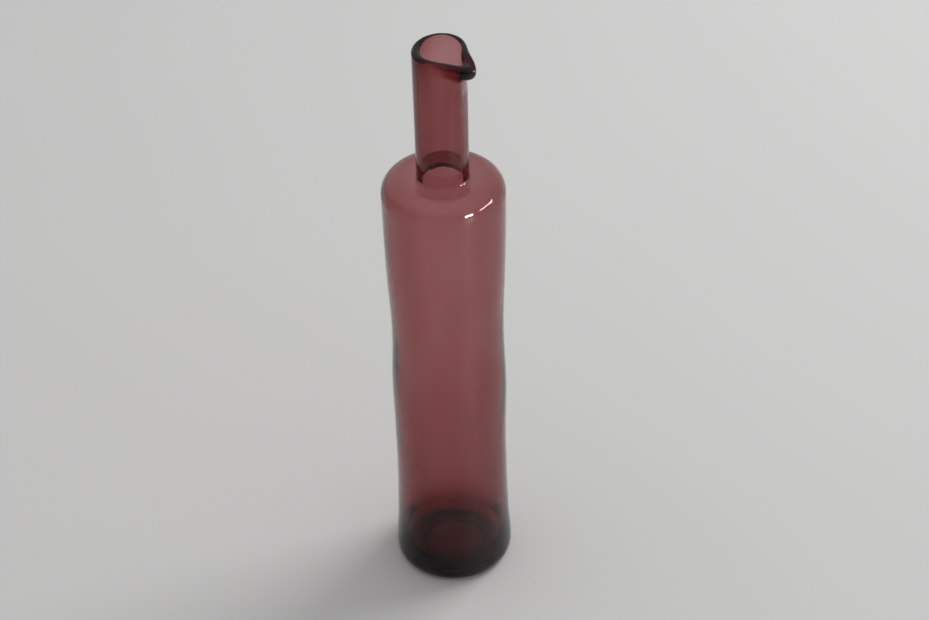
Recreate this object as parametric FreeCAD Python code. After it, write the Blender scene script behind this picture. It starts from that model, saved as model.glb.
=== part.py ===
"""A slim blown glass pouring bottle, in millimetres.

The origin is the centre of the resting plane, +Z runs up the axis and the pouring lip points along +X.
The glass is one continuous wall. It is divided into named sections that meet face to face.
"""
import FreeCAD, Part
import math
import os

# Outside of the body: each height is the rise from the size before it, from the resting plane up
BODY_RADIUS = 28.9        # at the shoulder
HEEL_SPREAD = 1.3         # heel outside the shoulder's radius
HEEL_RISE = 6.2
FLARE_SPREAD = 0.1        # wall above the heel outside the shoulder's radius
FLARE_RISE = 21.8
LOWER_INSET = 0.9         # lower wall inside the shoulder's radius, and so on up the wall
LOWER_RISE = 48.0
BULGE_INSET = 0.6
BULGE_RISE = 38.0
WAIST_INSET = 1.6
WAIST_RISE = 33.0
UPPER_INSET = 0.5
UPPER_RISE = 37.0
SHOULDER_BREAK_RISE = 41.0  # up to where the wall starts to turn in

# Shoulder and neck
SHOULDER_ROUND = 9.5
NECK_ROOT_RISE = 8.5      # from the shoulder's break to where the neck meets the shoulder
NECK_RADIUS = 12.2
NECK_ROOT_ROUND = 0.9
NECK_LENGTH = 44.5        # from its root to where the lip begins

# Glass thickness
BODY_WALL = 1.9
LOWER_WALL = 2.3
SHOULDER_WALL = 1.8
NECK_WALL = 2.5
FLOOR_THICKNESS = 3.0     # in the middle of the bottom
TROUGH_THICKNESS = 4.2    # over the resting ring
TROUGH_OUTSET = 0.4       # deepest part of the inside, outside the push-up's edge
BOWL_RISE = 15.8          # from there up to where the inside wall begins
INNER_ROOT_ROUND = 2.0    # rounded edge inside, under the neck

# Underside
HEEL_ROUND = 5.6          # how far the heel's rounded edge runs in to the resting ring
RESTING_RING_WIDTH = 5.5
PUSH_UP_DEPTH = 7.5

# Mouth and pouring lip
LIP_LENGTH = 22.0             # from the end of the neck to the middle of the mouth's plane
RIM_THICKNESS = 2.75          # bead of the rim
LIP_TIP_THICKNESS = 6.4       # bead at the lip's tip
LIP_FILL = 2.0                # how much further in the glass reaches inside the tip
MOUTH_TILT_DEG = 5.2
MOUTH_HIGH_SIDE_DEG = 105.0   # direction of the mouth's highest point, from +X
LIP_REACH = 5.4               # how far the inside of the tip's bead lies outside that of the rim
LIP_HALF_ANGLE_DEG = 66.0     # from the tip to where the pulled part leaves the round of the rim
LIP_ROLL_DEG = 84.0           # how far the outside is rolled over under the tip, from upright
LIP_DIP = 2.0                 # how far the tip's bead lies under the mouth's plane
LIP_TIP_SOFTNESS_DEG = 22.0   # rounds the tip in plan
LIP_HOLLOW = 2.6              # above 1, the lip's +Y side is hollow in plan
LIP_FULL = 0.9                # below 1, the lip's -Y side is full in plan
LIP_SWELL = 0.42              # below 1, the thick rolled bead reaches further round than the pull

# Where the sections meet
BASE_SPLIT_INSET = 3.5        # inside the push-up's edge
HEEL_TOP_RISE = 4.4           # heel's top above the inside bottom
SHOULDER_FOOT_DROP = 3.0      # shoulder's foot below the shoulder's break
NECK_FOOT_RISE = 4.5          # neck's foot above the round at its root
RIM_STEP_DEG = 15.0
LIP_STEP_DEG = 7.0

# Heights and radii that follow
HEEL_RADIUS = BODY_RADIUS + HEEL_SPREAD
FLARE_RADIUS = BODY_RADIUS + FLARE_SPREAD
LOWER_RADIUS = BODY_RADIUS - LOWER_INSET
BULGE_RADIUS = BODY_RADIUS - BULGE_INSET
WAIST_RADIUS = BODY_RADIUS - WAIST_INSET
UPPER_RADIUS = BODY_RADIUS - UPPER_INSET
FOOT_RADIUS = HEEL_RADIUS - HEEL_ROUND
PUSH_UP_RADIUS = FOOT_RADIUS - RESTING_RING_WIDTH
BASE_SPLIT_RADIUS = PUSH_UP_RADIUS - BASE_SPLIT_INSET
FLARE_HEIGHT = HEEL_RISE + FLARE_RISE
LOWER_HEIGHT = FLARE_HEIGHT + LOWER_RISE
BULGE_HEIGHT = LOWER_HEIGHT + BULGE_RISE
WAIST_HEIGHT = BULGE_HEIGHT + WAIST_RISE
UPPER_HEIGHT = WAIST_HEIGHT + UPPER_RISE
SHOULDER_BREAK_HEIGHT = UPPER_HEIGHT + SHOULDER_BREAK_RISE
NECK_ROOT_HEIGHT = SHOULDER_BREAK_HEIGHT + NECK_ROOT_RISE
LIP_ROOT_HEIGHT = NECK_ROOT_HEIGHT + NECK_LENGTH
MOUTH_HEIGHT = LIP_ROOT_HEIGHT + LIP_LENGTH
FLOOR_HEIGHT = PUSH_UP_DEPTH + FLOOR_THICKNESS
TROUGH_RADIUS = PUSH_UP_RADIUS + TROUGH_OUTSET
BOWL_HEIGHT = TROUGH_THICKNESS + BOWL_RISE
HEEL_TOP_HEIGHT = FLOOR_HEIGHT + HEEL_TOP_RISE
SHOULDER_FOOT_HEIGHT = SHOULDER_BREAK_HEIGHT - SHOULDER_FOOT_DROP
NECK_FOOT_HEIGHT = NECK_ROOT_HEIGHT + NECK_ROOT_ROUND + NECK_FOOT_RISE
BORE_RADIUS = NECK_RADIUS - NECK_WALL

# How far a drawn curve keeps its direction at an end, as a share of its run
QUARTER = 0.5523              # makes a quarter circle of a unit radius
CROWN_SHARE = 0.62            # level crown of the push-up and of the bottom inside
PUSH_UP_SKIRT_SHARE = 0.8     # radius where the push-up starts to leave the resting plane
BOTTOM_SKIRT_SHARE = 0.75     # radius where the inside starts to rise from its deepest part
OUTER_UPRIGHT_SHARE = 0.75    # lip's outside, from the neck
OUTER_ROLL_SHARE = 0.22       # lip's outside, under the bead
INNER_UPRIGHT_SHARE = 0.7     # lip's inside, from the bore
INNER_RIM_SHARE = 0.12        # lip's inside, under the bead

UP = FreeCAD.Vector(0, 0, 1)
ORIGIN = FreeCAD.Vector(0, 0, 0)


def at(radius, height):
    """A point of the half section, in the plane of the axis and the pouring lip."""
    return FreeCAD.Vector(radius, 0, height)


def line(a, b):
    return Part.LineSegment(a, b).toShape()


def arc(a, middle, b):
    return Part.Arc(a, middle, b).toShape()


def turn(centre, radius, angle_deg):
    """A point on a round of the half section, at an angle from the radial direction."""
    angle = math.radians(angle_deg)
    return at(centre.x + radius * math.cos(angle), centre.z + radius * math.sin(angle))


def smooth(points, start=None, end=None):
    """A smooth curve through points, with its directions at the ends where they are given."""
    curve = Part.BSplineCurve()
    if start is None:
        curve.interpolate(points)
    else:
        curve.interpolate(points, InitialTangent=start, FinalTangent=end)
    return curve.toShape()


def drawn(poles):
    """A curve that is drawn towards its inner poles."""
    curve = Part.BezierCurve()
    curve.setPoles(poles)
    return curve.toShape()


def outside_edges():
    """Outside of the glass, from the resting ring up to the lip's root."""
    heel = at(HEEL_RADIUS, HEEL_RISE)
    heel_round = drawn([
        at(FOOT_RADIUS, 0), at((FOOT_RADIUS + HEEL_RADIUS) / 2, 0),
        at(HEEL_RADIUS, HEEL_RISE / 3), heel,
    ])
    break_point = at(BODY_RADIUS, SHOULDER_BREAK_HEIGHT)
    wall = smooth([
        heel, at(FLARE_RADIUS, FLARE_HEIGHT), at(LOWER_RADIUS, LOWER_HEIGHT), at(BULGE_RADIUS, BULGE_HEIGHT),
        at(WAIST_RADIUS, WAIST_HEIGHT), at(UPPER_RADIUS, UPPER_HEIGHT), break_point,
    ], start=UP, end=UP)
    corner = at(BODY_RADIUS - SHOULDER_ROUND, SHOULDER_BREAK_HEIGHT)
    corner_top = turn(corner, SHOULDER_ROUND, 90)
    root = at(NECK_RADIUS + NECK_ROOT_ROUND, NECK_ROOT_HEIGHT)
    root_centre = at(root.x, NECK_ROOT_HEIGHT + NECK_ROOT_ROUND)
    neck_foot = turn(root_centre, NECK_ROOT_ROUND, 180)
    return [
        heel_round,
        wall,
        arc(break_point, turn(corner, SHOULDER_ROUND, 45), corner_top),
        line(corner_top, root),
        arc(root, turn(root_centre, NECK_ROOT_ROUND, 225), neck_foot),
        line(neck_foot, at(NECK_RADIUS, LIP_ROOT_HEIGHT)),
    ]


def inside_edges():
    """Inside of the glass, from the lip's root down to the axis."""
    round_radius = SHOULDER_ROUND - BODY_WALL
    inner_top = SHOULDER_BREAK_HEIGHT + SHOULDER_ROUND - SHOULDER_WALL
    root_height = NECK_ROOT_HEIGHT - SHOULDER_WALL
    root = at(BORE_RADIUS + INNER_ROOT_ROUND, root_height)
    bore_foot = at(BORE_RADIUS, root_height + INNER_ROOT_ROUND)
    corner = at(BODY_RADIUS - BODY_WALL - round_radius, inner_top - round_radius)
    corner_side = turn(corner, round_radius, 0)
    bowl_side = at(FLARE_RADIUS - LOWER_WALL, BOWL_HEIGHT)
    bulge_wall = (BODY_WALL + LOWER_WALL) / 2
    wall = smooth([
        corner_side, at(UPPER_RADIUS - BODY_WALL, UPPER_HEIGHT), at(WAIST_RADIUS - BODY_WALL, WAIST_HEIGHT),
        at(BULGE_RADIUS - bulge_wall, BULGE_HEIGHT), at(LOWER_RADIUS - LOWER_WALL, LOWER_HEIGHT), bowl_side,
    ], start=UP * -1, end=UP * -1)
    trough = at(TROUGH_RADIUS, TROUGH_THICKNESS)
    bowl = drawn([
        bowl_side, at(bowl_side.x, TROUGH_THICKNESS + BOWL_RISE / 3),
        at((bowl_side.x + TROUGH_RADIUS) / 2, TROUGH_THICKNESS), trough,
    ])
    mound = drawn([
        trough, at(TROUGH_RADIUS * BOTTOM_SKIRT_SHARE, TROUGH_THICKNESS),
        at(TROUGH_RADIUS * CROWN_SHARE, FLOOR_HEIGHT), at(0, FLOOR_HEIGHT),
    ])
    middle = BORE_RADIUS + INNER_ROOT_ROUND * (1 - math.sqrt(0.5))
    return [
        line(at(BORE_RADIUS, LIP_ROOT_HEIGHT), bore_foot),
        arc(bore_foot, at(middle, root_height + INNER_ROOT_ROUND * (1 - math.sqrt(0.5))), root),
        line(root, turn(corner, round_radius, 90)),
        arc(turn(corner, round_radius, 90), turn(corner, round_radius, 45), corner_side),
        wall,
        bowl,
        mound,
    ]


def push_up_edges():
    """Underside, from the top of the push-up down to the resting ring."""
    dome = drawn([
        at(0, PUSH_UP_DEPTH), at(PUSH_UP_RADIUS * CROWN_SHARE, PUSH_UP_DEPTH),
        at(PUSH_UP_RADIUS * PUSH_UP_SKIRT_SHARE, 0), at(PUSH_UP_RADIUS, 0),
    ])
    return [dome, line(at(PUSH_UP_RADIUS, 0), at(FOOT_RADIUS, 0))]


def half_section():
    """The wall of the bottle up to the lip's root, as one flat face beside the axis."""
    bottom = at(0, PUSH_UP_DEPTH)
    floor = at(0, FLOOR_HEIGHT)
    mouth = line(at(NECK_RADIUS, LIP_ROOT_HEIGHT), at(BORE_RADIUS, LIP_ROOT_HEIGHT))
    edges = push_up_edges() + outside_edges() + [mouth] + inside_edges() + [line(floor, bottom)]
    return Part.Face(Part.Wire(edges))


def zone(inner, outer, low, high):
    """A rectangle of the half section, between two radii and two heights."""
    corners = [at(inner, low), at(outer, low), at(outer, high), at(inner, high), at(inner, low)]
    return Part.Face(Part.makePolygon(corners))


def turned(face):
    return face.revolve(ORIGIN, UP, 360)


def turned_sections():
    """The round sections of the bottle, by name."""
    wall = half_section()
    beyond = HEEL_RADIUS + BODY_RADIUS
    zones = {
        "base": zone(0, BASE_SPLIT_RADIUS, 0, HEEL_TOP_HEIGHT),
        "heel": zone(BASE_SPLIT_RADIUS, beyond, 0, HEEL_TOP_HEIGHT),
        "body_wall": zone(0, beyond, HEEL_TOP_HEIGHT, SHOULDER_FOOT_HEIGHT),
        "shoulder": zone(0, beyond, SHOULDER_FOOT_HEIGHT, NECK_FOOT_HEIGHT),
        "neck": zone(0, beyond, NECK_FOOT_HEIGHT, LIP_ROOT_HEIGHT),
    }
    return {name: turned(wall.common(part).Faces[0]) for name, part in zones.items()}


def straight_sided(angle):
    """Reach of two straight sides that touch the round of the rim, at an angle from their corner."""
    return 1 / math.cos(math.radians(LIP_HALF_ANGLE_DEG) - angle) - 1


def pull(angle):
    """How far the rim is pulled outwards at an angle from +X: 1 at the lip's tip and 0 round the back."""
    half = math.radians(LIP_HALF_ANGLE_DEG)
    softness = half * LIP_TIP_SOFTNESS_DEG / (LIP_HALF_ANGLE_DEG + LIP_TIP_SOFTNESS_DEG)
    turned_to = math.atan2(math.sin(angle), math.cos(angle))
    away = abs(turned_to)
    side = LIP_HOLLOW if turned_to > 0 else LIP_FULL
    softened = math.sqrt(away ** 2 + softness ** 2 * (1 - min(1, away / half) ** 2))
    return (straight_sided(min(softened, half)) / straight_sided(softness)) ** side


def lip_section(angle):
    """The closed outline of the lip's wall in the half plane at an angle from +X."""
    share = pull(angle)
    swell = share ** LIP_SWELL
    roll_deg = LIP_ROLL_DEG * swell
    half = (RIM_THICKNESS + (LIP_TIP_THICKNESS - RIM_THICKNESS) * swell) / 2
    slope = math.tan(math.radians(MOUTH_TILT_DEG))
    tilt = slope * NECK_RADIUS * math.cos(angle - math.radians(MOUTH_HIGH_SIDE_DEG))
    bead_radius = NECK_RADIUS - RIM_THICKNESS + half + LIP_REACH * share
    bead = at(bead_radius, MOUTH_HEIGHT + tilt - half - LIP_DIP * share ** 2)
    top = bead + UP * half
    outer_end = turn(bead, half, -roll_deg)
    outer_rise = outer_end.z - LIP_ROOT_HEIGHT
    heading = turn(ORIGIN, outer_rise, 90 - roll_deg)
    inner_reach = half + LIP_FILL * share
    inner_end = bead - at(inner_reach, 0)
    inner_rise = inner_end.z - LIP_ROOT_HEIGHT
    neck_foot = at(NECK_RADIUS, LIP_ROOT_HEIGHT)
    bore_foot = at(BORE_RADIUS, LIP_ROOT_HEIGHT)
    wire = Part.Wire([
        line(bore_foot, neck_foot),
        drawn([
            neck_foot, neck_foot + UP * (outer_rise * OUTER_UPRIGHT_SHARE),
            outer_end - heading * OUTER_ROLL_SHARE, outer_end,
        ]),
        arc(outer_end, turn(bead, half, (90 - roll_deg) / 2), top),
        drawn([top, top - at(inner_reach * QUARTER, 0), inner_end + UP * (half * QUARTER), inner_end]),
        drawn([
            inner_end, inner_end - UP * (inner_rise * INNER_RIM_SHARE),
            bore_foot + UP * (inner_rise * INNER_UPRIGHT_SHARE), bore_foot,
        ]),
    ])
    wire.rotate(ORIGIN, UP, math.degrees(angle))
    return wire


def swept_lip(first_deg, last_deg, step_deg):
    """The part of the lip between two angles, as a solid through its sections."""
    count = max(2, round((last_deg - first_deg) / step_deg))
    angles = [first_deg + (last_deg - first_deg) * i / count for i in range(count + 1)]
    return Part.makeLoft([lip_section(math.radians(a)) for a in angles], True, False)


def sections():
    made = turned_sections()
    made["pouring_lip"] = swept_lip(-LIP_HALF_ANGLE_DEG, LIP_HALF_ANGLE_DEG, LIP_STEP_DEG)
    made["lip_rim"] = swept_lip(LIP_HALF_ANGLE_DEG, 360 - LIP_HALF_ANGLE_DEG, RIM_STEP_DEG)
    return made


def main():
    os.makedirs("parts", exist_ok=True)
    for name, shape in sections().items():
        shape.exportStep(f"parts/{name}.step")
        solids = shape.Solids
        box = shape.BoundBox
        print(f"{name}: {len(solids)} solid, valid {shape.isValid()}, {shape.Volume / 1000:.2f} cm3, "
              f"z {box.ZMin:.2f} to {box.ZMax:.2f}, x {box.XMin:.2f} to {box.XMax:.2f}")


main()
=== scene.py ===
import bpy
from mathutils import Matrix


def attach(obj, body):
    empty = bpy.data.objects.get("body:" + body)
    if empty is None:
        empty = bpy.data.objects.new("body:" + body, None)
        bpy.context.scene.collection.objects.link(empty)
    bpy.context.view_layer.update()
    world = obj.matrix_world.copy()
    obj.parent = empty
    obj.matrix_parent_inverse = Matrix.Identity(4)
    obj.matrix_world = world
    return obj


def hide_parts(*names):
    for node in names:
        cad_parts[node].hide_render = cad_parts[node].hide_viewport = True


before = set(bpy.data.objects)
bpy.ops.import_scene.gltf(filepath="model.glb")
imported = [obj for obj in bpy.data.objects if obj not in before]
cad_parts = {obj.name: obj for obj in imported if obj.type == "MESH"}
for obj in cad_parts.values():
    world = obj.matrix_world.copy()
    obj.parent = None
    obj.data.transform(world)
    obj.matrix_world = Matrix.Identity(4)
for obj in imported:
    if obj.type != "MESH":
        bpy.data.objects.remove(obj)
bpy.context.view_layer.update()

import math

import bpy
from mathutils import Matrix, Vector, noise

bl_info = {
    "name": "Plum Glass Pouring Bottle",
    "version": (1, 0, 0),
    "blender": (4, 5, 0),
    "location": "3D View > Sidebar > Bottle",
    "description": "Blows a slim glass bottle with a pulled pouring lip and sets a pale studio round it",
    "category": "Object",
}

NODES = ("base", "heel", "body_wall", "shoulder", "neck", "lip_rim", "pouring_lip")

# Curves of the half section. A share sets how far a handle reaches, as a part of a radius or a rise.
ROUND = 0.5523  # handle length that makes a quarter circle of a unit radius
CROWN_SHARE = 0.62
PUSH_UP_SKIRT_SHARE = 0.8
BOTTOM_SKIRT_SHARE = 0.75
OUTER_UPRIGHT_SHARE = 0.75
OUTER_ROLL_SHARE = 0.22
INNER_UPRIGHT_SHARE = 0.7
INNER_RIM_SHARE = 0.12

# Fineness of the mesh
EDGES_PER_KNOT = 12
STEPS_ROUND = 176
MERGE_DISTANCE = 0.000002

# Grain of the wall: noise cells to a unit circle round the axis, and to a metre of height
OUTER_SWELLS = (1.3, 32)
INNER_SWELLS = (1.8, 26)
MOULD_RINGS = (0.5, 210)
DRAWN_STREAKS = (6, 9)
SWELL_SHARE = 0.75
RING_SHARE = 0.25
INNER_SWELL_SHIFT = 7.3  # the shifts set the inside's pattern apart from the outside's
INNER_STREAK_SHIFT = 4.1
STRAY_START = 1.6  # the wall starts to stray at this many heel rises
TRUE_CORE = 0.5  # the bottom stays true within this share of the neck's radius

# Finish of the glass
GLASS_IOR = 1.5
RING_GRAIN = (9, 9, 420)
RING_TINTS = ((0.97, 0.95, 0.95), (1.0, 0.985, 0.985))
RING_BUMP = {"Strength": 0.12, "Distance": 0.0004}
SWELL_IN_RINGS = 0.45  # share of the slow swells in the bump
FILM_TO_ROUGHNESS = {"From Min": 0.35, "From Max": 0.75, "To Min": 0.0, "To Max": 0.035}

# Stage. Places are as seen by a camera that looks along +Y, and turn with it.
FLOOR_SIZE = 8
FLOOR_MOTTLE = (0.985, 1.015)
SKY_BRIGHT_SIDE = (0.15, 0.45, 0.88)
SKY_FADE = {"From Min": -0.2, "From Max": 0.5}
BODY_MIDDLE = (0, 0, 0.15)
SHOULDER_MIDDLE = (0, 0, 0.23)
# The softbox only lights the scene, and the strip and the lamp only make glints.
LIGHTS = {
    "overhead_softbox": {
        "place": (1.4, 1.0, 1.7), "target": BODY_MIDDLE, "size": (1.2, 1.2), "watts": 28, "tint": (1, 1, 1),
        "hidden_from": ("glossy", "transmission")},
    "side_strip": {
        "place": (1.58, -0.25, 0.53), "target": BODY_MIDDLE, "size": (0.9, 0.12), "watts": 16,
        "tint": (1, 0.97, 0.95), "hidden_from": ("diffuse", "transmission")},
    "front_lamp": {
        "place": (1.09, -1.17, 0.38), "target": SHOULDER_MIDDLE, "size": (0.36, 0.14), "watts": 56,
        "tint": (1, 1, 1), "hidden_from": ("diffuse", "transmission")},
}
SENSOR_WIDTH = 36  # mm
PICTURE_WIDTH = 929  # pixels
FOCAL_LENGTH = 1800  # pixels
CLIP_START = 0.01


def number(name, description, default):
    return bpy.props.FloatProperty(name=name, description=description, default=default)


def length(name, description, default):
    return bpy.props.FloatProperty(
        name=name, description=description, default=default, unit="LENGTH", precision=4)


def angle(name, description, degrees):
    return bpy.props.FloatProperty(
        name=name, description=description, default=math.radians(degrees), subtype="ANGLE")


def colour(name, description, default):
    return bpy.props.FloatVectorProperty(
        name=name, description=description, default=default, size=3, subtype="COLOR", min=0, max=1)


class BottleShape(bpy.types.PropertyGroup):
    """Sizes of the blown glass"""

    body_radius: length("Body radius", "Outside of the body at the shoulder", 0.0289)
    heel_spread: length("Heel spread", "Heel outside the shoulder's radius", 0.0013)
    heel_rise: length("Heel rise", "Height of the widest part of the heel", 0.0062)
    heel_round: length("Heel round", "How far the heel's rounded edge runs in to the resting ring", 0.0056)
    ring_width: length("Resting ring", "Width of the flat ring that the bottle stands on", 0.0055)
    push_up: length("Push-up", "Depth of the hollow under the bottle", 0.0075)
    flare_spread: length("Flare spread", "Wall above the heel outside the shoulder's radius", 0.0001)
    flare_height: length("Flare height", "Height where the heel's flare ends", 0.028)
    bowl_height: length("Bowl height", "Height where the inside starts to curve in to the bottom", 0.02)
    lower_inset: length("Lower inset", "Lower wall inside the shoulder's radius", 0.0009)
    lower_height: length("Lower height", "Height of the lower wall's slimmest part", 0.076)
    bulge_inset: length("Bulge inset", "Slight bulge inside the shoulder's radius", 0.0006)
    bulge_height: length("Bulge height", "Height of the slight bulge", 0.114)
    waist_inset: length("Waist inset", "Waist inside the shoulder's radius", 0.0016)
    waist_height: length("Waist height", "Height of the waist", 0.147)
    upper_inset: length("Upper inset", "Upper wall inside the shoulder's radius", 0.0005)
    upper_height: length("Upper height", "Height of the upper wall", 0.184)
    break_height: length("Shoulder break", "Height where the wall starts to turn in", 0.225)
    shoulder_round: length("Shoulder round", "Radius of the rounded shoulder", 0.0095)
    root_height: length("Neck root", "Height where the neck meets the shoulder", 0.2335)
    root_round: length("Root round", "Radius of the round at the neck's root", 0.0009)
    neck_radius: length("Neck radius", "Outside of the straight neck", 0.0122)
    lip_root: length("Lip root", "Height where the lip begins", 0.278)
    mouth_height: length("Mouth height", "Height of the middle of the mouth's plane", 0.3)
    body_wall: length("Body wall", "Glass thickness of the body", 0.0019)
    lower_wall: length("Lower wall", "Glass thickness of the lower wall", 0.0023)
    shoulder_wall: length("Shoulder wall", "Glass thickness of the shoulder", 0.0018)
    neck_wall: length("Neck wall", "Glass thickness of the neck", 0.0025)
    floor_glass: length("Bottom glass", "Glass thickness in the middle of the bottom", 0.003)
    trough_glass: length("Trough glass", "Glass thickness over the resting ring", 0.0042)
    trough_radius: length("Trough radius", "Radius of the deepest part of the inside", 0.0195)
    inner_round: length("Inner round", "Rounded edge inside, under the neck", 0.002)
    waviness: length("Waviness", "How far the outside of the body strays from a true round", 0.00016)
    inner_waviness: length("Inner waviness", "How far the inside strays, which mottles the colour", 0.0003)
    neck_streaks: length("Neck streaks", "Height of the ridges along the drawn neck", 0.0002)


class LipShape(bpy.types.PropertyGroup):
    """Sizes of the slanted mouth and its pulled lip"""

    reach: length("Reach", "How far the inside of the tip's bead lies outside that of the rim", 0.0054)
    rim_thickness: length("Rim thickness", "Mean glass thickness of the rim's bead", 0.0031)
    unevenness: number("Unevenness", "Share by which the rim's bead is thicker on its thick side", 0.25)
    thick_side: angle("Thick side", "Direction of the rim's thick side", 225)
    tip_thickness: length("Tip thickness", "Glass thickness of the bead at the tip", 0.0064)
    dip: length("Dip", "How far the tip's bead lies under the mouth's plane", 0.002)
    half_angle: angle("Half angle", "From the tip to where the pulled part leaves the rim's round", 66)
    softness: angle("Tip softness", "Rounds the tip in plan", 22)
    roll: angle("Roll", "How far the outside is rolled over under the tip, from upright", 84)
    fill: length("Fill", "How much further in the glass reaches inside the tip", 0.002)
    tilt: angle("Mouth tilt", "Slant of the mouth", 5.2)
    high_side: angle("High side", "Direction of the mouth's highest point", 105)
    hollow: number("Hollow side", "Above 1, the lip's left side is hollow in plan", 2.6)
    full: number("Full side", "Below 1, the lip's right side is full in plan", 0.9)
    swell: number("Swell", "Below 1, the thick rolled bead reaches further round than the pull", 0.42)


class GlassLook(bpy.types.PropertyGroup):
    """Colour and finish of the glass"""

    plum: colour("Plum", "Light that the glass lets through", (0.56, 0.05, 0.075))
    sheen: colour("Sheen", "Tint of what the glass mirrors", (0.55, 0.47, 0.48))
    depth: number("Depth", "How strongly the glass colours light", 510.0)


class StageLook(bpy.types.PropertyGroup):
    """Floor, light and camera"""

    floor_tone: colour("Floor", "Plain pale floor", (0.60, 0.60, 0.595))
    sky_tone: colour("Sky", "Soft light from all round", (0.975, 0.975, 0.975))
    sky_level: number("Sky level", "Strength of the sky's bright side", 0.7)
    dim_level: number("Dim level", "Strength of the sky's dim side", 0.06)
    azimuth: angle("Azimuth", "Direction of the camera round the bottle", 45)
    distance: length("Distance", "Camera's level distance from the bottle's axis", 0.6914)
    height: length("Height", "Camera's height over the floor", 0.6843)
    swing: angle("Swing", "How far the camera turns left from the bottle's axis", -0.695)
    dip: angle("Dip", "How far the camera looks down", 37.388)
    roll: angle("Roll", "How far the camera leans about its own axis", -1.444)


def wall_line(s):
    """Radius, height and glass thickness along the body, from the lower wall to the upper one."""
    return [
        (s.body_radius - s.lower_inset, s.lower_height, s.lower_wall),
        (s.body_radius - s.bulge_inset, s.bulge_height, (s.lower_wall + s.body_wall) / 2),
        (s.body_radius - s.waist_inset, s.waist_height, s.body_wall),
        (s.body_radius - s.upper_inset, s.upper_height, s.body_wall),
    ]


def upper_third(s):
    """A third of the rise from the upper wall to the shoulder, for the handles there."""
    return (s.break_height - s.upper_height) / 3


def outside_knots(s):
    """Outside of the glass, from the middle of the push-up to the root of the lip."""
    heel = s.body_radius + s.heel_spread
    flare = s.body_radius + s.flare_spread
    foot = heel - s.heel_round
    hollow = foot - s.ring_width
    side = s.body_radius
    corner = s.shoulder_round
    top = s.break_height + corner
    neck = s.neck_radius
    root = s.root_round
    return [
        ((0, s.push_up), None, (hollow * CROWN_SHARE, s.push_up)),
        ((hollow, 0), (hollow * PUSH_UP_SKIRT_SHARE, 0), None),
        ((foot, 0), None, ((foot + heel) / 2, 0)),
        ((heel, s.heel_rise), (heel, s.heel_rise / 3),
         (heel, s.heel_rise + (s.flare_height - s.heel_rise) / 3)),
        ((flare, s.flare_height), "AUTO", "AUTO"),
        *[((radius, height), "AUTO", "AUTO") for radius, height, _ in wall_line(s)],
        ((side, s.break_height), (side, s.break_height - upper_third(s)),
         (side, s.break_height + ROUND * corner)),
        ((side - corner, top), (side - corner * (1 - ROUND), top), None),
        ((neck + root, s.root_height), None, (neck + root * (1 - ROUND), s.root_height)),
        ((neck, s.root_height + root), (neck, s.root_height + root * (1 - ROUND)), None),
        ((neck, s.lip_root), None, None),
    ]


def mouth_knots(s):
    """The straight mouth, up the outside, over its round edge and down the inside."""
    half = s.neck_wall / 2
    middle = s.neck_radius - half
    bore = s.neck_radius - s.neck_wall
    rim = s.mouth_height - half
    lip_middle = (s.lip_root + rim) / 2
    return [
        ((s.neck_radius, lip_middle), None, None),
        ((s.neck_radius, rim), None, (s.neck_radius, rim + ROUND * half)),
        ((middle, rim + half), (middle + ROUND * half, rim + half), (middle - ROUND * half, rim + half)),
        ((bore, rim), (bore, rim + ROUND * half), None),
        ((bore, lip_middle), None, None),
    ]


def inside_knots(s):
    """Inside of the glass, from the root of the lip to the middle of the bottom."""
    bore = s.neck_radius - s.neck_wall
    root = s.root_height - s.shoulder_wall
    edge = s.inner_round
    side = s.body_radius - s.body_wall
    corner = s.shoulder_round - s.body_wall
    top = s.break_height + s.shoulder_round - s.shoulder_wall
    turn_in = top - corner
    bowl = s.body_radius + s.flare_spread - s.lower_wall
    trough = s.trough_radius
    floor = s.push_up + s.floor_glass
    return [
        ((bore, s.lip_root), None, None),
        ((bore, root + edge), None, (bore, root + edge * (1 - ROUND))),
        ((bore + edge, root), (bore + edge * (1 - ROUND), root), None),
        ((side - corner, top), None, (side - corner * (1 - ROUND), top)),
        ((side, turn_in), (side, top - corner * (1 - ROUND)), (side, turn_in - upper_third(s))),
        *[((radius - glass, height), "AUTO", "AUTO") for radius, height, glass in reversed(wall_line(s))],
        ((bowl, s.bowl_height), (bowl, s.bowl_height + (s.lower_height - s.bowl_height) / 3),
         (bowl, s.trough_glass + (s.bowl_height - s.trough_glass) / 3)),
        ((trough, s.trough_glass), ((bowl + trough) / 2, s.trough_glass),
         (trough * BOTTOM_SKIRT_SHARE, s.trough_glass)),
        ((0, floor), (trough * CROWN_SHARE, floor), None),
    ]


def draw_profile(name, knots):
    """Draws the half section as one curve in the XZ plane and makes it a chain of edges, the active object.

    Each knot is a point and its left and right handles. A handle of None runs straight to the next knot,
    and AUTO makes the curve smooth there.
    """
    bpy.ops.object.select_all(action="DESELECT")
    bpy.ops.curve.primitive_bezier_curve_add(location=(0, 0, 0))
    chain = bpy.context.object
    chain.name = name
    spline = chain.data.splines[0]
    spline.resolution_u = EDGES_PER_KNOT
    spline.bezier_points.add(len(knots) - len(spline.bezier_points))
    for point, (place, left, right) in zip(spline.bezier_points, knots):
        point.co = (place[0], 0, place[1])
        for side, handle in (("left", left), ("right", right)):
            kind = {None: "VECTOR", "AUTO": "AUTO"}.get(handle, "FREE")
            setattr(point, f"handle_{side}_type", kind)
            if kind == "FREE":
                setattr(point, f"handle_{side}", (handle[0], 0, handle[1]))
    bpy.ops.object.convert(target="MESH")


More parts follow.
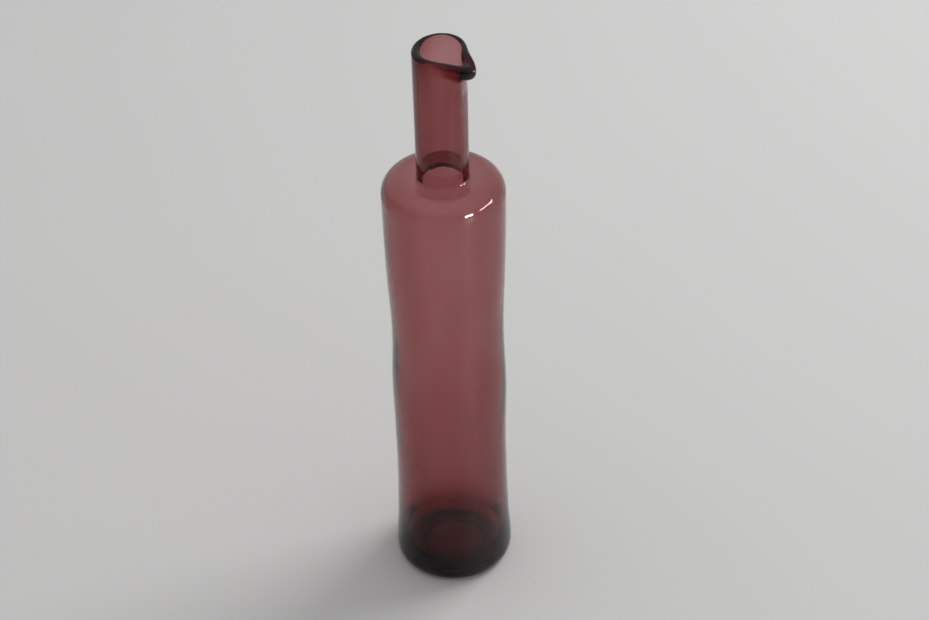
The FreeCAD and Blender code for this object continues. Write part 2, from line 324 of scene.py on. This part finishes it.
def spin_round():
    """Turns the edges of the active object into a closed round shell."""
    bpy.ops.object.mode_set(mode="EDIT")
    bpy.ops.mesh.select_all(action="SELECT")
    bpy.ops.mesh.spin(
        steps=STEPS_ROUND, angle=2 * math.pi, center=(0, 0, 0), axis=(0, 0, 1), use_auto_merge=True)
    bpy.ops.mesh.select_all(action="SELECT")
    bpy.ops.mesh.remove_doubles(threshold=MERGE_DISTANCE)
    bpy.ops.mesh.normals_make_consistent(inside=False)
    bpy.ops.object.mode_set(mode="OBJECT")
    bpy.ops.object.shade_smooth()


def grain(place, cells, shift):
    """Smooth noise at a point of the wall, from -1 to 1, with its fineness round the axis and along it."""
    around, upward = cells
    turn = math.atan2(place.y, place.x)
    return noise.noise(Vector((around * math.cos(turn) + shift, around * math.sin(turn), place.z * upward)))


def wander(place, inside):
    """How far the body's wall strays, from -1 to 1: slow swells, and finer rings from the mould."""
    shift = INNER_SWELL_SHIFT if inside else 0.0
    swells = grain(place, INNER_SWELLS if inside else OUTER_SWELLS, shift)
    rings = grain(place, MOULD_RINGS, -shift)
    return SWELL_SHARE * swells + RING_SHARE * rings


def streak(place, inside):
    """Long upright ridges that are left where the hot neck was drawn out, from -1 to 1."""
    return grain(place, DRAWN_STREAKS, INNER_STREAK_SHIFT if inside else 0.0)


def ramp(value, low, high):
    """Rises smoothly from 0 at the low value to 1 at the high one."""
    share = min(1.0, max(0.0, (value - low) / (high - low)))
    return share * share * (3 - 2 * share)


def blow_wall(shape, vertex, outward):
    """Lets the body's wall stray a little from a true round, and ridges the drawn neck."""
    place = vertex.co
    radius = math.hypot(place.x, place.y)
    if radius < TRUE_CORE * shape.neck_radius:
        return
    blown = ramp(place.z, STRAY_START * shape.heel_rise, shape.lower_height)
    blown *= 1 - ramp(place.z, shape.upper_height, shape.root_height)
    drawn = ramp(place.z, shape.root_height + shape.root_round, shape.lip_root)
    stray = (shape.waviness if outward else shape.inner_waviness) * blown * wander(place, not outward)
    stray += shape.neck_streaks * drawn * streak(place, not outward)
    place.x *= 1 + stray / radius
    place.y *= 1 + stray / radius


def pull_share(lip, turn):
    """How far the rim is pulled outwards at an angle from +X: 1 at the lip's tip and 0 round the back."""
    half = lip.half_angle
    softness = half * lip.softness / (half + lip.softness)
    away = abs(turn)

    def straight_sided(at):
        return 1 / math.cos(half - at) - 1

    softened = math.sqrt(away ** 2 + softness ** 2 * (1 - min(1, away / half) ** 2))
    pulled = straight_sided(min(softened, half)) / straight_sided(softness)
    return pulled ** (lip.hollow if turn > 0 else lip.full)


def bezier(points, run):
    """Point of a cubic curve, with run from 0 at its start to 1 at its end."""
    weights = [(1 - run) ** 3, 3 * run * (1 - run) ** 2, 3 * run ** 2 * (1 - run), run ** 3]
    return sum((point * weight for point, weight in zip(points, weights)), Vector((0, 0)))


def pull_lip(shape, lip, vertex):
    """Carries one point of the straight mouth to its place on the slanted rim and its rolled lip.

    The work is done in the radial section through the point, as radius and height. There the rim is a round
    bead, with one curve up to it outside and one inside.
    """
    place = vertex.co
    turn = math.atan2(place.y, place.x)
    radius = math.hypot(place.x, place.y)
    half = shape.neck_wall / 2
    middle = shape.neck_radius - half
    rim = shape.mouth_height - half

    share = pull_share(lip, turn)
    swell = share ** lip.swell
    roll = lip.roll * swell
    fill = lip.fill * share
    rim_glass = lip.rim_thickness * (1 + lip.unevenness * math.cos(turn - lip.thick_side))
    bead_radius = (rim_glass + (lip.tip_thickness - rim_glass) * swell) / 2
    slant = math.tan(lip.tilt) * shape.neck_radius * math.cos(turn - lip.high_side)
    bead = Vector((shape.neck_radius - rim_glass + bead_radius + lip.reach * share,
                   shape.mouth_height + slant - bead_radius - lip.dip * share ** 2))

    if place.z > rim:
        over = math.atan2(place.z - rim, radius - middle) / math.pi
        facing = math.pi * over - roll * (1 - over)
        spot = bead + bead_radius * Vector((math.cos(facing), math.sin(facing)))
        spot.x += fill * min(0, math.cos(facing))
    else:
        if radius > middle:
            end = bead + bead_radius * Vector((math.cos(roll), -math.sin(roll)))
            heading = Vector((math.sin(roll), math.cos(roll)))
            upright_share, end_share = OUTER_UPRIGHT_SHARE, OUTER_ROLL_SHARE
        else:
            end = bead - Vector((bead_radius + fill, 0))
            heading = Vector((0, 1))
            upright_share, end_share = INNER_UPRIGHT_SHARE, INNER_RIM_SHARE
        start = Vector((radius, shape.lip_root))
        rise = end.y - shape.lip_root
        upright = start + Vector((0, upright_share * rise))
        run = (place.z - shape.lip_root) / (rim - shape.lip_root)
        spot = bezier([start, upright, end - heading * end_share * rise, end], run)
    vertex.co = (spot.x * math.cos(turn), spot.x * math.sin(turn), spot.y)


def fresh_material(name):
    material = bpy.data.materials.new(name)
    material.use_nodes = True
    nodes = material.node_tree.nodes
    nodes.clear()
    return material, nodes, material.node_tree.links


def add_node(nodes, kind, values):
    """Adds a node and sets the inputs that are named."""
    node = nodes.new(kind)
    for name, value in values.items():
        node.inputs[name].default_value = value
    return node


def add_noise(nodes, links, place, scale, detail):
    """Adds a noise that reads the given place, and gives its level."""
    node = add_node(nodes, "ShaderNodeTexNoise", {"Scale": scale, "Detail": detail})
    links.new(place, node.inputs["Vector"])
    return node.outputs["Fac"]


def add_tints(nodes, links, level, low, high):
    """Adds a colour that runs from one tint to another with the given level."""
    node = nodes.new("ShaderNodeValToRGB")
    for element, tint in zip(node.color_ramp.elements, (low, high)):
        element.color = (*tint, 1)
    links.new(level, node.inputs["Fac"])
    return node.outputs["Color"]


def plum_glass(look):
    """Clear plum glass, coloured through its thickness, with faint mould rings and a fire-polished skin."""
    material, nodes, links = fresh_material("plum_glass")
    output = nodes.new("ShaderNodeOutputMaterial")
    skin = add_node(nodes, "ShaderNodeBsdfPrincipled", {
        "Transmission Weight": 1.0, "IOR": GLASS_IOR, "Specular Tint": (*look.sheen, 1)})
    body = add_node(nodes, "ShaderNodeVolumeAbsorption", {"Color": (*look.plum, 1), "Density": look.depth})
    place = nodes.new("ShaderNodeTexCoord").outputs["Object"]

    stretch = add_node(nodes, "ShaderNodeMapping", {"Scale": RING_GRAIN})
    links.new(place, stretch.inputs["Vector"])
    rings = add_noise(nodes, links, stretch.outputs["Vector"], scale=1.0, detail=3.0)
    swells = add_noise(nodes, links, place, scale=90.0, detail=1.0)
    marks = add_node(nodes, "ShaderNodeMix", {"Factor": SWELL_IN_RINGS})
    links.new(rings, marks.inputs["A"])
    links.new(swells, marks.inputs["B"])
    bump = add_node(nodes, "ShaderNodeBump", RING_BUMP)
    links.new(marks.outputs["Result"], bump.inputs["Height"])
    links.new(bump.outputs["Normal"], skin.inputs["Normal"])

    film = add_noise(nodes, links, place, scale=60.0, detail=4.0)
    polish = add_node(nodes, "ShaderNodeMapRange", FILM_TO_ROUGHNESS)
    links.new(film, polish.inputs["Value"])
    links.new(polish.outputs["Result"], skin.inputs["Roughness"])
    links.new(add_tints(nodes, links, rings, *RING_TINTS), skin.inputs["Base Color"])

    links.new(skin.outputs["BSDF"], output.inputs["Surface"])
    links.new(body.outputs["Volume"], output.inputs["Volume"])
    return material


def pale_floor(look):
    """Plain pale floor with a faint mottle and a soft sheen."""
    material, nodes, links = fresh_material("pale_floor")
    output = nodes.new("ShaderNodeOutputMaterial")
    skin = add_node(nodes, "ShaderNodeBsdfPrincipled", {"Specular IOR Level": 0.2, "Roughness": 0.55})
    place = nodes.new("ShaderNodeTexCoord").outputs["Object"]
    mottle = add_noise(nodes, links, place, scale=3.0, detail=3.0)
    low, high = [[min(1, level * tone) for tone in look.floor_tone] for level in FLOOR_MOTTLE]
    links.new(add_tints(nodes, links, mottle, low, high), skin.inputs["Base Color"])
    links.new(skin.outputs["BSDF"], output.inputs["Surface"])
    return material


class BOTTLE_OT_blow(bpy.types.Operator):
    """Blows the bottle: the wall is turned from its half section, and the lip is pulled out of the rim"""

    bl_idname = "bottle.blow"
    bl_label = "Blow the bottle"

    def execute(self, context):
        shape = context.scene.bottle_shape
        lip = context.scene.bottle_lip
        look = context.scene.bottle_glass
        draw_profile("bottle_glass", outside_knots(shape) + mouth_knots(shape) + inside_knots(shape))
        spin_round()
        bottle = context.object
        turned_out = [v.normal.x * v.co.x + v.normal.y * v.co.y > 0 for v in bottle.data.vertices]
        for vertex, outward in zip(bottle.data.vertices, turned_out):
            blow_wall(shape, vertex, outward)
            if vertex.co.z > shape.lip_root:
                pull_lip(shape, lip, vertex)
        bottle.data.update()
        bottle.data.materials.clear()
        bottle.data.materials.append(plum_glass(look))
        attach(bottle, "root")
        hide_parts(*NODES)
        return {"FINISHED"}


def soft_light(name, turn, place, target, size, watts, tint, hidden_from):
    """An area light that faces a point, with its width level, and that some kinds of rays don't see."""
    spot = turn @ Vector(place)
    bpy.ops.object.select_all(action="DESELECT")
    bpy.ops.object.light_add(type="AREA", location=spot)
    lamp = bpy.context.object
    lamp.name = name
    lamp.data.shape = "RECTANGLE"
    lamp.data.size, lamp.data.size_y = size
    lamp.data.energy = watts
    lamp.data.color = tint
    lamp.rotation_euler = (Vector(target) - spot).to_track_quat("-Z", "Y").to_euler()
    for rays in hidden_from:
        setattr(lamp, f"visible_{rays}", False)


def soft_sky(look, bright_side):
    """Light from all round that fades from a bright side to a dim one."""
    world = bpy.data.worlds.new("soft_sky")
    world.use_nodes = True
    nodes = world.node_tree.nodes
    links = world.node_tree.links
    place = nodes.new("ShaderNodeTexCoord")
    facing = nodes.new("ShaderNodeVectorMath")
    facing.operation = "DOT_PRODUCT"
    facing.inputs[1].default_value = bright_side
    links.new(place.outputs["Generated"], facing.inputs[0])
    fade = add_node(nodes, "ShaderNodeMapRange", {
        **SKY_FADE, "To Min": look.dim_level, "To Max": look.sky_level})
    fade.interpolation_type = "SMOOTHSTEP"
    links.new(facing.outputs["Value"], fade.inputs["Value"])
    sky = nodes["Background"]
    sky.inputs["Color"].default_value = (*look.sky_tone, 1)
    links.new(fade.outputs["Result"], sky.inputs["Strength"])
    return world


def aim_camera(look):
    """Adds the camera and aims it down at the bottle."""
    bpy.ops.object.select_all(action="DESELECT")
    bpy.ops.object.camera_add()
    camera = bpy.context.object
    camera.name = "camera"
    camera.data.sensor_width = SENSOR_WIDTH
    camera.data.lens = FOCAL_LENGTH * SENSOR_WIDTH / PICTURE_WIDTH
    camera.data.clip_start = CLIP_START
    place = Matrix.Rotation(look.azimuth, 4, "Z") @ Matrix.Translation((0, -look.distance, look.height))
    swing = Matrix.Rotation(look.swing, 4, "Z")
    nod = Matrix.Rotation(math.pi / 2 - look.dip, 4, "X")
    roll = Matrix.Rotation(look.roll, 4, "Z")
    camera.matrix_world = place @ swing @ nod @ roll
    return camera


class BOTTLE_OT_stage(bpy.types.Operator):
    """Sets the pale floor, the soft studio light and the camera"""

    bl_idname = "bottle.stage"
    bl_label = "Set the stage"

    def execute(self, context):
        look = context.scene.bottle_stage
        bpy.ops.object.select_all(action="DESELECT")
        bpy.ops.mesh.primitive_plane_add(size=FLOOR_SIZE, location=(0, 0, 0))
        floor = context.object
        floor.name = "floor"
        floor.data.materials.append(pale_floor(look))

        turn = Matrix.Rotation(look.azimuth, 3, "Z")
        context.scene.world = soft_sky(look, turn @ Vector(SKY_BRIGHT_SIDE))
        for name, light in LIGHTS.items():
            soft_light(name, turn, **light)
        context.scene.camera = aim_camera(look)
        context.scene.view_settings.view_transform = "Standard"
        return {"FINISHED"}


class BOTTLE_PT_panel(bpy.types.Panel):
    """Lists the bottle's steps and sizes"""

    bl_idname = "BOTTLE_PT_panel"
    bl_label = "Pouring Bottle"
    bl_space_type = "VIEW_3D"
    bl_region_type = "UI"
    bl_category = "Bottle"

    def draw(self, context):
        column = self.layout.column()
        for operator in (BOTTLE_OT_blow, BOTTLE_OT_stage):
            column.operator(operator.bl_idname)
        for group in GROUPS:
            values = getattr(context.scene, group)
            for key in values.bl_rna.properties.keys():
                if key not in ("rna_type", "name"):
                    column.prop(values, key)


GROUPS = {
    "bottle_shape": BottleShape,
    "bottle_lip": LipShape,
    "bottle_glass": GlassLook,
    "bottle_stage": StageLook,
}
CLASSES = (*GROUPS.values(), BOTTLE_OT_blow, BOTTLE_OT_stage, BOTTLE_PT_panel)


def register():
    for item in CLASSES:
        bpy.utils.register_class(item)
    for name, group in GROUPS.items():
        setattr(bpy.types.Scene, name, bpy.props.PointerProperty(type=group))


def unregister():
    for name in GROUPS:
        delattr(bpy.types.Scene, name)
    for item in reversed(CLASSES):
        bpy.utils.unregister_class(item)


def main():
    register()
    bpy.ops.bottle.blow()
    bpy.ops.bottle.stage()


if __name__ == "__main__":
    main()
